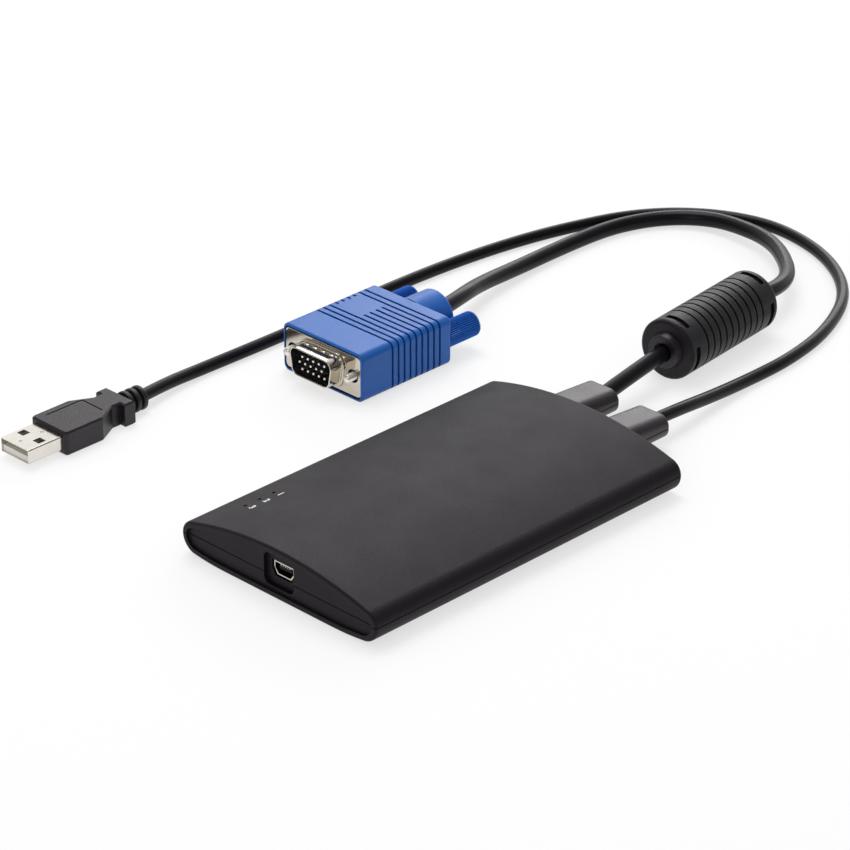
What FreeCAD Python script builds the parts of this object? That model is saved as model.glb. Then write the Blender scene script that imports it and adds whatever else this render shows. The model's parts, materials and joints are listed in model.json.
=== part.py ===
import FreeCAD, Part
import math
import operator
import os
from types import SimpleNamespace

import Sketcher

# Crash cart adapter: a flat case with a small front port, and two short leads at the back that end
# in a fifteen pin video plug and a flat data plug.
# The origin is the middle of the case's underside. X runs across the case, the front port faces -Y,
# the leads leave at +Y and Z is up. All sizes are millimetres.

SIZES = {
    # case
    "case_length": 118.4,
    "case_width": 74.3,
    "case_height": 15.1,
    "parting_height": 6.1,
    "upper_nose_radius": 4.4,
    "lower_nose_radius": 5.4,
    "flat_width": 41.4,
    "wall": 2.0,
    "rim_width": 1.8,
    "panel_inset": 0.8,
    "end_rounding": 0.8,
    "reveal_height": 0.25,
    "reveal_depth": 0.4,
    # case screws and their posts
    "post_radius": 2.6,
    "post_side_inset": 9.2,
    "post_end_inset": 10.5,
    "screw_radius": 1.0,
    "screw_head_radius": 1.7,
    "screw_head_height": 1.3,
    "screw_length": 7.6,
    "screw_sink": 0.5,
    "screw_slot_width": 0.6,
    "screw_slot_length": 2.2,
    "screw_slot_depth": 0.7,
    "fit": 0.05,
    "loose_fit": 0.1,
    # board
    "board_thickness": 1.6,
    "board_top": 6.05,
    "board_side_gap": 4.7,
    "board_end_gap": 6.0,
    # packages on the board
    "video_chip_side": -4.0,
    "video_chip_place": 8.0,
    "video_chip_width": 20.0,
    "video_chip_length": 20.0,
    "video_chip_height": 1.4,
    "control_chip_side": 4.0,
    "control_chip_place": -28.0,
    "control_chip_width": 14.0,
    "control_chip_length": 14.0,
    "control_chip_height": 1.2,
    "memory_chip_side": -4.0,
    "memory_chip_place": -10.0,
    "memory_chip_width": 18.4,
    "memory_chip_length": 8.0,
    "memory_chip_height": 1.1,
    "clock_crystal_side": 18.0,
    "clock_crystal_place": -14.0,
    "clock_crystal_width": 4.7,
    "clock_crystal_length": 11.0,
    "clock_crystal_height": 2.6,
    "package_rounding": 0.3,
    # the leads' ends on the board
    "header_height": 4.0,
    "header_length": 6.0,
    "video_header_width": 14.0,
    "data_header_width": 9.0,
    "wire_bundle_radius": 1.1,
    # front port
    "port_opening_width": 11.4,
    "port_opening_height": 9.5,
    "port_opening_rounding": 2.0,
    "port_opening_drop": 0.2,
    "port_opening_depth": 1.2,
    "port_width": 7.6,
    "port_height": 3.9,
    "port_foot_width": 5.2,
    "port_shoulder": 1.8,
    "port_depth": 9.0,
    "port_side": 0.45,
    "port_sunk": 0.4,
    "port_gap": 0.4,
    "port_sheet": 0.35,
    "port_back_depth": 3.0,
    "port_tongue_width": 4.6,
    "port_tongue_height": 1.0,
    "port_tongue_level": 2.3,
    "port_tongue_setback": 0.5,
    "port_contact_width": 0.45,
    "port_contact_pitch": 0.8,
    "port_contact_length": 4.4,
    # indicator lights
    "light_hole_radius": 0.55,
    "light_side_inset": 9.4,
    "light_end_inset": 14.75,
    "light_pitch": 5.2,
    "light_recess": 0.5,
    # boots at the back wall
    "boot_width": 13.1,
    "boot_root_height": 8.6,
    "boot_end_height": 7.2,
    "boot_floor": 3.1,
    "boot_rounding": 3.3,
    "boot_edge": 0.6,
    "boot_neck_width": 8.4,
    "boot_neck_height": 4.6,
    "boot_flange_width": 11.0,
    "boot_flange_height": 6.4,
    "boot_flange_thickness": 1.5,
    "boot_seam_height": 0.25,
    "boot_seam_depth": 0.25,
    "video_boot_side": -10.6,
    "video_boot_length": 20.4,
    "data_boot_side": 9.9,
    "data_boot_length": 18.8,
    # leads
    "video_cable_diameter": 4.9,
    "data_cable_diameter": 3.8,
    # ferrite sleeve on the video lead
    "ferrite_radius": 9.4,
    "ferrite_length": 44.1,
    "ferrite_edge": 1.2,
    "ferrite_start": 11.0,
    "ferrite_collar_radius": 5.6,
    "ferrite_collar_end_radius": 4.4,
    "ferrite_collar_height": 1.2,
    "ferrite_groove_pitch": 3.1,
    "ferrite_groove_width": 0.7,
    "ferrite_groove_depth": 0.5,
    "ferrite_window_width": 1.9,
    "ferrite_window_depth": 0.9,
    "ferrite_window_place": 2.15,
    "ferrite_window_angle": 50.0,
    "ferrite_window_turn": 10.0,
    "core_radius": 7.4,
    "core_bore": 3.2,
    "core_length": 29.0,
    # video plug
    "video_plug_side": -81.2,
    "video_plug_front": 35.55,
    "video_grip_width": 33.0,
    "video_grip_height": 15.4,
    "video_grip_length": 36.5,
    "video_grip_rounding": 2.1,
    "video_grip_edge": 0.6,
    "video_rim": 0.75,
    "video_recess": 1.5,
    "video_recess_rounding": 1.6,
    "video_boss_radius": 7.7,
    "video_boss_length": 10.7,
    "video_boss_edge": 1.0,
    "grip_groove_first": 12.35,
    "grip_groove_pitch": 2.43,
    "grip_groove_width": 0.8,
    "grip_groove_depth": 0.6,
    "grip_pad_left": 3.1,
    "grip_pad_width": 10.7,
    "flange_thickness": 0.9,
    "shell_width": 18.2,
    "shell_height": 9.1,
    "shell_slant": 0.75,
    "shell_rounding": 2.6,
    "shell_reach": 5.6,
    "shell_sheet": 0.45,
    "shell_step": 0.9,
    "bump_width": 1.9,
    "bump_length": 1.1,
    "bump_height": 0.3,
    "bump_pitch": 3.6,
    "bump_place": 2.7,
    "insulator_depth": 5.0,
    "pin_radius": 0.4,
    "pin_tip_bevel": 0.2,
    "pin_pitch": 2.29,
    "pin_row_pitch": 1.98,
    "pin_row_shift": 0.57,
    "pin_length": 5.0,
    "jack_spacing": 25.0,
    "jack_radius": 1.42,
    "jack_hole_radius": 1.8,
    "jack_tip": 0.5,
    "jack_reach": 3.5,
    "knob_radius": 3.9,
    "knob_length": 12.8,
    "knob_rounding": 0.8,
    "knob_gap": 0.3,
    "knob_flute_radius": 0.3,
    # data plug
    "data_plug_side": -108.2,
    "data_plug_front": -45.6,
    "data_grip_width": 15.3,
    "data_grip_height": 7.4,
    "data_grip_straight": 13.7,
    "data_grip_taper": 6.6,
    "data_grip_waist": 8.2,
    "data_grip_waist_length": 2.9,
    "data_grip_collar": 12.4,
    "data_grip_collar_length": 3.9,
    "data_grip_edge": 0.5,
    "data_grip_corner": 1.2,
    "relief_core_radius": 2.6,
    "relief_ring_radius": 3.7,
    "relief_ring_length": 1.5,
    "relief_ring_gap": 1.0,
    "relief_ring_rounding": 0.45,
    "border_width": 0.45,
    "border_depth": 0.3,
    "border_side": 2.5,
    "border_start": 3.5,
    "border_length": 13.5,
    "border_cross": 9.1,
    "data_shell_width": 12.0,
    "data_shell_height": 4.5,
    "data_shell_reach": 12.4,
    "data_shell_seat": 7.0,
    "data_shell_sheet": 0.3,
    "data_shell_rounding": 0.5,
    "latch_hole": 2.7,
    "latch_side": 3.4,
    "latch_place": 6.2,
    "dimple_radius": 0.5,
    "dimple_depth": 0.15,
    "dimple_front": 2.2,
    "dimple_back": 10.0,
    "tongue_width": 11.2,
    "tongue_height": 1.9,
    "tongue_setback": 0.4,
    "contact_width": 1.0,
    "contact_height": 0.15,
    "contact_length": 8.0,
    "contact_setback": 2.0,
    "contact_inner_side": 1.0,
    "contact_outer_side": 3.5,
}

INDICATORS = 3
PINS_IN_ROW = 5
GRIP_GROOVES = 9
GRIP_PLAIN_GROOVES = (3, 4, 5, 6)
FERRITE_GROOVES = 10
FERRITE_WINDOWS = 4
SHELL_BUMPS = 4
KNOB_FLUTES = 28
RELIEF_RINGS = 3
PORT_CONTACTS = 5
QUARTER_TURN = 90
FULL_TURN = 360
# how much of the shorter run each bend of a lead takes up
BEND_SHARE = 0.45
# two places closer than this are the same
NEAR = 1e-4

Vector = FreeCAD.Vector
ALONG_X = Vector(1, 0, 0)
ALONG_Y = Vector(0, 1, 0)
ALONG_Z = Vector(0, 0, 1)

doc = FreeCAD.newDocument("crash_cart_adapter")
sheet = doc.addObject("Spreadsheet::Sheet", "Sizes")
for row, (alias, number) in enumerate(SIZES.items(), 1):
    sheet.set("A%d" % row, alias)
    sheet.set("B%d" % row, str(number))
    sheet.setAlias("B%d" % row, alias)
doc.recompute()


class Size:
    """A length with the sheet expression that it comes from, so that sums of sizes stay tied."""

    def __init__(self, value, text):
        self.value = value
        self.text = text

    def __add__(self, other):
        return combine(self, "+", other)

    def __radd__(self, other):
        return combine(other, "+", self)

    def __sub__(self, other):
        return combine(self, "-", other)

    def __rsub__(self, other):
        return combine(other, "-", self)

    def __mul__(self, other):
        return combine(self, "*", other)

    def __rmul__(self, other):
        return combine(other, "*", self)

    def __truediv__(self, other):
        return combine(self, "/", other)

    def __neg__(self):
        return combine(0, "-", self)


OPERATIONS = {"+": operator.add, "-": operator.sub, "*": operator.mul, "/": operator.truediv}


def as_size(amount):
    """Take a plain number for a Size too."""
    if isinstance(amount, Size):
        return amount
    return Size(amount, "(%r)" % amount)


def combine(left, sign, right):
    """One sum, difference, product or quotient of two sizes."""
    left = as_size(left)
    right = as_size(right)
    return Size(OPERATIONS[sign](left.value, right.value), "(%s %s %s)" % (left.text, sign, right.text))


def square_root(amount):
    """The square root of a size."""
    return Size(math.sqrt(amount.value), "sqrt(%s)" % amount.text)


s = SimpleNamespace(**{alias: Size(float(sheet.get(alias)), "Sizes.%s" % alias) for alias in SIZES})


def bind(item, prop, amount):
    """Tie one property of an item to the sheet."""
    item.setExpression(prop, as_size(amount).text)


def place(item, x, y, z):
    """Tie an item's position to the sheet."""
    bind(item, "Placement.Base.x", x)
    bind(item, "Placement.Base.y", y)
    bind(item, "Placement.Base.z", z)


def box(name, x, y, z, length, width, height):
    """A block by its lowest corner and its size along X, Y and Z."""
    item = doc.addObject("Part::Box", name)
    bind(item, "Length", length)
    bind(item, "Width", width)
    bind(item, "Height", height)
    place(item, x, y, z)
    return item


def middle_box(name, x, y, z, length, width, height):
    """A block centred on x and z, starting at y."""
    return box(name, x - length / 2, y, z - height / 2, length, width, height)


def round_bar(name, x, y, z, radius, length, along=ALONG_Y):
    """A cylinder that starts at a point and runs along Y, or along Z."""
    item = doc.addObject("Part::Cylinder", name)
    bind(item, "Radius", radius)
    bind(item, "Height", length)
    item.Placement.Rotation = FreeCAD.Rotation(ALONG_Z, along)
    place(item, x, y, z)
    return item


def cut(name, base, *tools):
    """A base with one or more tools taken out."""
    tool = tools[0] if len(tools) == 1 else fuse(name + "_tools", *tools)
    item = doc.addObject("Part::Cut", name)
    item.Base = base
    item.Tool = tool
    return item


def fuse(name, *shapes):
    """Several shapes joined, or kept side by side where they don't touch."""
    item = doc.addObject("Part::MultiFuse", name)
    item.Shapes = list(shapes)
    return item


def common(name, *shapes):
    """What several shapes share."""
    item = doc.addObject("Part::MultiCommon", name)
    item.Shapes = list(shapes)
    return item


def round_edges(name, base, radius, wanted, kind="Part::Fillet"):
    """Round, or bevel, the edges of a base that a test picks out."""
    doc.recompute()
    item = doc.addObject(kind, name)
    item.Base = base
    amount = as_size(radius).value
    picked = [i for i, edge in enumerate(base.Shape.Edges, 1) if wanted(edge)]
    item.Edges = [(i, amount, amount) for i in picked]
    return item


def runs_along(direction):
    """A test for straight edges along a direction."""
    def wanted(edge):
        if edge.Curve.TypeId != "Part::GeomLine":
            return False
        return abs(abs(edge.Curve.Direction.dot(direction)) - 1) < NEAR
    return wanted


def lies_at_y(*levels):
    """A test for edges that lie in planes across Y."""
    values = [as_size(level).value for level in levels]

    def wanted(edge):
        bounds = edge.BoundBox
        return any(abs(bounds.YMin - y) < NEAR and abs(bounds.YMax - y) < NEAR for y in values)
    return wanted


def draw_outline(sketch, points, radii=None):
    """Draw a closed outline. Every corner is tied to the sheet, and a stretch with a radius is an arc.

    A positive radius bulges to the right of the walk from corner to corner, a negative one to the left.
    """
    radii = radii or {}
    points = [(as_size(u), as_size(v)) for u, v in points]
    geometry = []
    for i, (u, v) in enumerate(points):
        next_u, next_v = points[(i + 1) % len(points)]
        start = Vector(u.value, v.value, 0)
        end = Vector(next_u.value, next_v.value, 0)
        if i in radii:
            geometry.append(arc_between(start, end, as_size(radii[i]).value))
        else:
            geometry.append(Part.LineSegment(start, end))
    ids = sketch.addGeometry(geometry, False)
    starts = {}
    ends = {}
    for i, number in enumerate(ids):
        backwards = i in radii and as_size(radii[i]).value < 0
        starts[i] = (number, 2 if backwards else 1)
        ends[i] = (number, 1 if backwards else 2)
    for i in range(len(ids)):
        following = (i + 1) % len(ids)
        sketch.addConstraint(Sketcher.Constraint("Coincident", *ends[i], *starts[following]))
    for i, (u, v) in enumerate(points):
        for kind, amount in (("DistanceX", u), ("DistanceY", v)):
            rule = sketch.addConstraint(Sketcher.Constraint(kind, -1, 1, *starts[i], amount.value))
            sketch.setExpression("Constraints[%d]" % rule, amount.text)
    for i, radius in radii.items():
        size = as_size(radius)
        if size.value < 0:
            size = -size
        rule = sketch.addConstraint(Sketcher.Constraint("Radius", ids[i], size.value))
        sketch.setExpression("Constraints[%d]" % rule, size.text)


def arc_between(start, end, radius):
    """The short arc from start to end, with its signed radius as in draw_outline."""
    half = (end - start) * 0.5
    reach = math.sqrt(max(radius * radius - half.Length ** 2, 0))
    left = Vector(-half.y, half.x, 0).normalize()
    middle = start + half
    centre = middle + left * math.copysign(reach, radius)
    top = centre + (middle - left * math.copysign(half.Length, radius) - centre).normalize() * abs(radius)
    if reach == 0:
        top = middle - left * radius
    return Part.ArcOfCircle(start, top, end)


def outline_sketch(name, plane, level, points, radii=None):
    """A sketch of an outline in XZ at a place along Y, or in XY at a height."""
    sketch = doc.addObject("Sketcher::SketchObject", name + "_outline")
    if plane == "XZ":
        sketch.Placement.Rotation = FreeCAD.Rotation(ALONG_X, QUARTER_TURN)
        bind(sketch, "Placement.Base.y", level)
    else:
        bind(sketch, "Placement.Base.z", level)
    draw_outline(sketch, points, radii)
    return sketch


def prism(name, plane, level, length, points, radii=None):
    """An outline in XZ pulled along +Y, or an outline in XY pulled along +Z, from a level."""
    item = doc.addObject("Part::Extrusion", name)
    item.Base = outline_sketch(name, plane, level, points, radii)
    item.DirMode = "Custom"
    item.Dir = ALONG_Y if plane == "XZ" else ALONG_Z
    bind(item, "LengthFwd", length)
    item.Solid = True
    return item


def rounded_rectangle(u, v, width, height, radius):
    """The corners and arcs of a rectangle about a centre, with rounded corners."""
    left = u - width / 2
    right = u + width / 2
    low = v - height / 2
    high = v + height / 2
    points = [(left + radius, low), (right - radius, low), (right, low + radius), (right, high - radius),
              (right - radius, high), (left + radius, high), (left, high - radius), (left, low + radius)]
    return points, {1: radius, 3: radius, 5: radius, 7: radius}


finished = {}


def finish(name, item, placement=None):
    """Name a finished sub-part after its node."""
    if placement:
        item.Placement = placement
    item.Label = name
    finished[name] = item
    return item


# Case: two covers that meet in a flat plane. The section is a crown and a belly, each running into a
# rounded nose whose centre lies in that plane.

half_case = s.case_width / 2
board_bottom = s.board_top - s.board_thickness
case_front = -(s.case_length / 2)
front_panel = case_front + s.panel_inset
back_panel = s.case_length / 2 - s.panel_inset
inner_length = s.case_length - 2 * (s.panel_inset + s.wall)
board_width = s.case_width - 2 * s.board_side_gap
board_length = s.case_length - 2 * s.board_end_gap
post_side = half_case - s.post_side_inset
post_end = s.case_length / 2 - s.post_end_inset
light_side = half_case - s.light_side_inset
light_first = case_front + s.light_end_inset
boot_level = s.boot_floor + s.boot_root_height / 2
boot_end_level = s.boot_floor + s.boot_end_height / 2


def crown_outline(inset):
    """The upper half of the section, pulled in all round by an inset."""
    nose_side = half_case - s.upper_nose_radius
    drop = s.case_height - s.parting_height
    spare = 2 * (drop - s.upper_nose_radius)
    crown_radius = (nose_side * nose_side + drop * drop - s.upper_nose_radius * s.upper_nose_radius) / spare
    lever = crown_radius - s.upper_nose_radius
    nose = s.upper_nose_radius - inset
    touch_side = nose_side + nose * nose_side / lever
    touch_height = s.parting_height + nose * (crown_radius - drop) / lever
    edge = half_case - inset
    points = [(-edge, s.parting_height), (edge, s.parting_height), (touch_side, touch_height),
              (-touch_side, touch_height)]
    return points, {1: nose, 2: crown_radius - inset, 3: nose}


def belly_outline(inset):
    """The lower half of the section, pulled in all round by an inset."""
    nose_side = half_case - s.lower_nose_radius
    flat = s.flat_width / 2
    lean = nose_side - flat
    spare = 2 * (s.parting_height - s.lower_nose_radius)
    squares = lean * lean + s.parting_height * s.parting_height - s.lower_nose_radius * s.lower_nose_radius
    belly_radius = squares / spare
    lever = belly_radius - s.lower_nose_radius
    nose = s.lower_nose_radius - inset
    touch_side = nose_side + nose * lean / lever
    touch_height = s.parting_height - nose * (belly_radius - s.parting_height) / lever
    edge = half_case - inset
    points = [(edge, s.parting_height), (-edge, s.parting_height), (-touch_side, touch_height),
              (-flat, inset), (flat, inset), (touch_side, touch_height)]
    return points, {1: nose, 2: belly_radius - inset, 4: belly_radius - inset, 5: nose}


def post_places():
    """The four places of the case screws."""
    return [(side * post_side, end * post_end) for side in (-1, 1) for end in (-1, 1)]


def cover_shell(name, outline):
    """One cover: its section, its hollow and the shallow recess in each end."""
    solid = prism(name + "_block", "XZ", case_front, s.case_length, *outline(as_size(0)))
    ends = lies_at_y(case_front, s.case_length / 2)
    plane = s.parting_height.value

    def rim(edge):
        flat = abs(edge.BoundBox.ZMin - plane) < NEAR and abs(edge.BoundBox.ZMax - plane) < NEAR
        return ends(edge) and not flat
    rounded = round_edges(name + "_rounded", solid, s.end_rounding, rim)
    hollow = prism(name + "_hollow", "XZ", front_panel + s.wall, inner_length, *outline(s.wall))
    recesses = [prism(name + "_front_recess", "XZ", case_front, s.panel_inset, *outline(s.rim_width)),
                prism(name + "_back_recess", "XZ", back_panel, s.panel_inset, *outline(s.rim_width))]
    return solid, cut(name + "_shell", rounded, hollow, *recesses)


def port_outline(inset):
    """The front port's outline: a broad upper part that steps in to a narrower foot."""
    low = s.board_top + inset
    high = s.board_top + s.port_height - inset
    broad = s.port_width / 2 - inset
    foot = s.port_foot_width / 2 - inset
    shoulder = s.board_top + s.port_shoulder
    right = [(foot, low), (broad, shoulder), (broad, high)]
    left = [(-broad, high), (-broad, shoulder), (-foot, low)]
    return [(s.port_side + side, level) for side, level in right + left]


def port_openings(name):
    """The shallow pocket in the front panel and the hole in its floor that the port stands in."""
    middle = s.board_top + s.port_height / 2 - s.port_opening_drop
    outline = rounded_rectangle(as_size(0), middle, s.port_opening_width, s.port_opening_height,
                                s.port_opening_rounding)
    pocket = prism(name + "_pocket", "XZ", case_front, s.panel_inset + s.port_opening_depth, *outline)
    hole = prism(name + "_hole", "XZ", case_front, s.panel_inset + 2 * s.wall, port_outline(-s.port_gap))
    return [pocket, hole]


def boot_openings(name):
    """The two windows in the back panel that the boots' necks pass through."""
    width = s.boot_neck_width + 2 * s.fit
    height = s.boot_neck_height + 2 * s.fit
    return [middle_box("%s_%d" % (name, i), side, back_panel - 2 * s.wall, boot_level, width,
                       2 * s.wall + s.panel_inset, height)
            for i, side in enumerate((s.video_boot_side, s.data_boot_side))]


def build_bottom_cover():
    """The lower cover, with a sunk hole for each case screw."""
    block, shell = cover_shell("bottom_cover", belly_outline)
    posts = []
    holes = []
    head_depth = s.screw_sink + s.screw_head_height
    head_room = s.screw_head_radius + s.loose_fit
    shank_room = s.screw_radius + s.loose_fit
    for i, (x, y) in enumerate(post_places()):
        pillar = round_bar("bottom_pillar_%d" % i, x, y, 0, s.post_radius, board_bottom, ALONG_Z)
        posts.append(common("bottom_post_%d" % i, pillar, block))
        holes.append(round_bar("bottom_sink_%d" % i, x, y, 0, head_room, head_depth, ALONG_Z))
        holes.append(round_bar("bottom_hole_%d" % i, x, y, 0, shank_room, s.case_height, ALONG_Z))
    body = fuse("bottom_cover_with_posts", shell, *posts)
    openings = port_openings("bottom_port") + boot_openings("bottom_boot_opening")
    finish("bottom_cover", cut("bottom_cover_cut", body, *holes, *openings))


def build_top_cover():
    """The upper cover, with the screws' blind posts, the indicator holes and the line of the joint."""
    block, shell = cover_shell("top_cover", crown_outline)
    posts = []
    holes = []
    post_foot = s.board_top + s.fit
    for i, (x, y) in enumerate(post_places()):
        pillar = round_bar("top_pillar_%d" % i, x, y, post_foot, s.post_radius, s.case_height, ALONG_Z)
        posts.append(common("top_post_%d" % i, pillar, block))
        depth = s.screw_sink + s.screw_head_height + s.screw_length + s.loose_fit - post_foot
        holes.append(round_bar("top_pilot_%d" % i, x, y, post_foot, s.screw_radius + s.fit, depth, ALONG_Z))
    for i in range(INDICATORS):
        holes.append(round_bar("light_hole_%d" % i, -light_side, light_first + i * s.light_pitch, s.board_top,
                               s.light_hole_radius, s.case_height, ALONG_Z))
    body = fuse("top_cover_with_posts", shell, *posts)
    margin = s.wall
    outside = box("reveal_outside", -half_case - margin, case_front - margin, s.parting_height,
                  s.case_width + 2 * margin, s.case_length + 2 * margin, s.reveal_height)
    inside_length = s.case_length - 2 * (s.panel_inset + s.reveal_depth)
    inside = box("reveal_inside", -half_case + s.reveal_depth, -(inside_length / 2), s.parting_height,
                 s.case_width - 2 * s.reveal_depth, inside_length, s.reveal_height)
    reveal = cut("reveal", outside, inside)
    openings = port_openings("top_port") + boot_openings("top_boot_opening")
    finish("top_cover", cut("top_cover_cut", body, reveal, *holes, *openings))


def build_case_screws():
    """Four screws, each with its head sunk in the lower cover and a cross recess in the head."""
    screws = []
    for i, (x, y) in enumerate(post_places()):
        head = round_bar("screw_head_%d" % i, x, y, s.screw_sink, s.screw_head_radius, s.screw_head_height,
                         ALONG_Z)
        shank = round_bar("screw_shank_%d" % i, x, y, s.screw_sink + s.screw_head_height, s.screw_radius,
                          s.screw_length, ALONG_Z)
        across = middle_box("screw_slot_across_%d" % i, x, y - s.screw_slot_width / 2, s.screw_sink,
                            s.screw_slot_length, s.screw_slot_width, 2 * s.screw_slot_depth)
        along = middle_box("screw_slot_along_%d" % i, x, y - s.screw_slot_length / 2, s.screw_sink,
                           s.screw_slot_width, s.screw_slot_length, 2 * s.screw_slot_depth)
        screws.append(cut("screw_cut_%d" % i, fuse("screw_%d" % i, head, shank), across, along))
    finish("case_screws", fuse("case_screws_group", *screws))


# Board: it lies on the lower posts, and the covers' screws pass through it.

def build_board():
    """The circuit board with its four screw holes."""
    plate = box("board_plate", -(board_width / 2), -(board_length / 2), board_bottom, board_width,
                board_length, s.board_thickness)
    shank_room = s.screw_radius + 2 * s.loose_fit
    holes = [round_bar("board_hole_%d" % i, x, y, board_bottom, shank_room, s.board_thickness, ALONG_Z)
             for i, (x, y) in enumerate(post_places())]
    finish("circuit_board", cut("board_cut", plate, *holes))


def build_package(name, x, y, width, length, height, rounding):
    """One package that stands on the board."""
    block = box(name + "_block", x - width / 2, y - length / 2, s.board_top, width, length, height)
    finish(name, round_edges(name + "_round", block, rounding, runs_along(ALONG_Z)))


def build_packages():
    """The chips, and the can of the clock crystal with its round ends."""
    build_package("video_chip", s.video_chip_side, s.video_chip_place, s.video_chip_width,
                  s.video_chip_length, s.video_chip_height, s.package_rounding)
    build_package("control_chip", s.control_chip_side, s.control_chip_place, s.control_chip_width,
                  s.control_chip_length, s.control_chip_height, s.package_rounding)
    build_package("memory_chip", s.memory_chip_side, s.memory_chip_place, s.memory_chip_width,
                  s.memory_chip_length, s.memory_chip_height, s.package_rounding)
    build_package("clock_crystal", s.clock_crystal_side, s.clock_crystal_place, s.clock_crystal_width,
                  s.clock_crystal_length, s.clock_crystal_height, s.clock_crystal_width / 2 - s.loose_fit)


def build_indicators():
    """Light guides that stand on the board and end just below the holes in the upper cover."""
    crown = crown_outline(as_size(0))[1][2]
    fall = crown - square_root(crown * crown - light_side * light_side)
    top = s.case_height - fall - s.light_recess
    guides = [round_bar("light_guide_%d" % i, -light_side, light_first + i * s.light_pitch, s.board_top,
                        s.light_hole_radius - s.fit, top - s.board_top, ALONG_Z) for i in range(INDICATORS)]
    finish("indicator_lights", fuse("light_guides", *guides))


# Front port: a small five contact socket, broad side up, that stands on the board.

def build_port():
    """The socket's sheet metal shell, its plastic tongue and the contacts on the tongue."""
    front = front_panel + s.port_opening_depth + s.port_sunk
    back_start = front + s.port_depth - s.port_back_depth
    outer = prism("port_outer", "XZ", front, s.port_depth, port_outline(as_size(0)))
    inner = prism("port_inner", "XZ", front, s.port_depth, port_outline(s.port_sheet))
    finish("port_shell", cut("port_shell_cut", outer, inner))
    back = prism("port_back", "XZ", back_start, s.port_back_depth, port_outline(s.port_sheet))
    level = s.board_top + s.port_tongue_level
    start = front + s.port_tongue_setback
    tongue = middle_box("port_tongue_bar", s.port_side, start, level, s.port_tongue_width,
                        back_start + s.port_back_depth - start, s.port_tongue_height)
    finish("port_tongue", fuse("port_tongue_fuse", back, tongue))
    strips = []
    strip_level = level + s.port_tongue_height / 2 + s.contact_height / 2
    for i in range(PORT_CONTACTS):
        x = s.port_side + (i - (PORT_CONTACTS - 1) / 2) * s.port_contact_pitch
        strips.append(middle_box("port_contact_%d" % i, x, start, strip_level, s.port_contact_width,
                                 s.port_contact_length, s.contact_height))
    finish("port_contacts", fuse("port_contacts_group", *strips))


# Boots: each is one moulding, a bar outside the case, a neck through the back panel and a flange inside.

def build_boot(name, side, length):
    """One boot, lower at its far end, with the line of its mould along both sides."""
    root = rounded_rectangle(side, boot_level, s.boot_width, s.boot_root_height, s.boot_rounding)
    end = rounded_rectangle(side, boot_end_level, s.boot_width, s.boot_end_height, s.boot_rounding)
    bar = doc.addObject("Part::Loft", name + "_bar")
    bar.Sections = [outline_sketch(name + "_root", "XZ", back_panel, *root),
                    outline_sketch(name + "_end", "XZ", back_panel + length, *end)]
    bar.Solid = True
    bar.Ruled = True
    rounded = round_edges(name + "_rounded", bar, s.boot_edge, lies_at_y(back_panel + length))
    neck_start = back_panel - s.wall - s.fit
    neck = middle_box(name + "_neck", side, neck_start, boot_level, s.boot_neck_width, s.wall + s.fit,
                      s.boot_neck_height)
    flange = middle_box(name + "_flange", side, neck_start - s.boot_flange_thickness, boot_level,
                        s.boot_flange_width, s.boot_flange_thickness, s.boot_flange_height)
    outer = middle_box(name + "_seam_outer", side, back_panel, boot_end_level, s.boot_width * 2, length * 2,
                       s.boot_seam_height)
    inner = middle_box(name + "_seam_inner", side, back_panel, boot_end_level,
                       s.boot_width - 2 * s.boot_seam_depth, length - s.boot_seam_depth, s.boot_seam_height)
    seam = cut(name + "_seam", outer, inner)
    finish(name, fuse(name + "_fuse", cut(name + "_bar_cut", rounded, seam), neck, flange))


def build_lead_ends(name, side, width):
    """The header on the board's back edge and the bundle of wires from it to the boot's flange."""
    flange_face = back_panel - s.wall - s.fit - s.boot_flange_thickness
    board_edge = board_length / 2
    header = box(name + "_header_block", side - width / 2, board_edge - s.header_length, s.board_top, width,
                 s.header_length, s.header_height)
    rounded = round_edges(name + "_header_round", header, s.package_rounding, runs_along(ALONG_Z))
    finish(name + "_header", rounded)
    wires = round_bar(name + "_wire_bar", side, board_edge, s.board_top + s.header_height / 2,
                      s.wire_bundle_radius, flange_face - board_edge)
    finish(name + "_wires", wires)


# Leads: each lies on the surface that the case stands on, in straight runs joined by round bends.

relief_length = RELIEF_RINGS * (s.relief_ring_length + s.relief_ring_gap)
collar_end = (s.data_plug_front + s.data_grip_straight + s.data_grip_taper + s.data_grip_waist_length
              + s.data_grip_collar_length)
boss_end = s.video_plug_front + s.video_grip_length + s.video_boss_length


def point(x, y, z):
    """A place of a lead's route that follows the sizes of the piece it meets."""
    return Vector(as_size(x).value, as_size(y).value, as_size(z).value)


# the ferrite sleeve holds the video lead straight between these two points
FERRITE_ENTRY = point(-12.43, 98.4, s.ferrite_radius)
FERRITE_EXIT = point(-20.13, 170.3, s.ferrite_radius)

VIDEO_ROUTE = [
    point(s.video_boot_side, back_panel + s.video_boot_length, boot_end_level),
    FERRITE_ENTRY,
    FERRITE_EXIT,
    Vector(-28.5, 183.5, 7.6),
    Vector(-47.2, 196.6, 5.2),
    Vector(-66.8, 199.3, 3.9),
    Vector(-76.7, 196.9, 3.3),
    Vector(-85.0, 191.3, 2.8),
    Vector(-90.6, 182.9, 2.55),
    Vector(-93.6, 170.3, 2.45),
    Vector(-93.4, 151.3, 2.45),
    Vector(-92.0, 129.3, 3.0),
    Vector(-88.7, 109.3, 5.0),
    Vector(-83.4, 95.6, 7.4),
    point(s.video_plug_side, boss_end, s.video_grip_height / 2),
]

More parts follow.
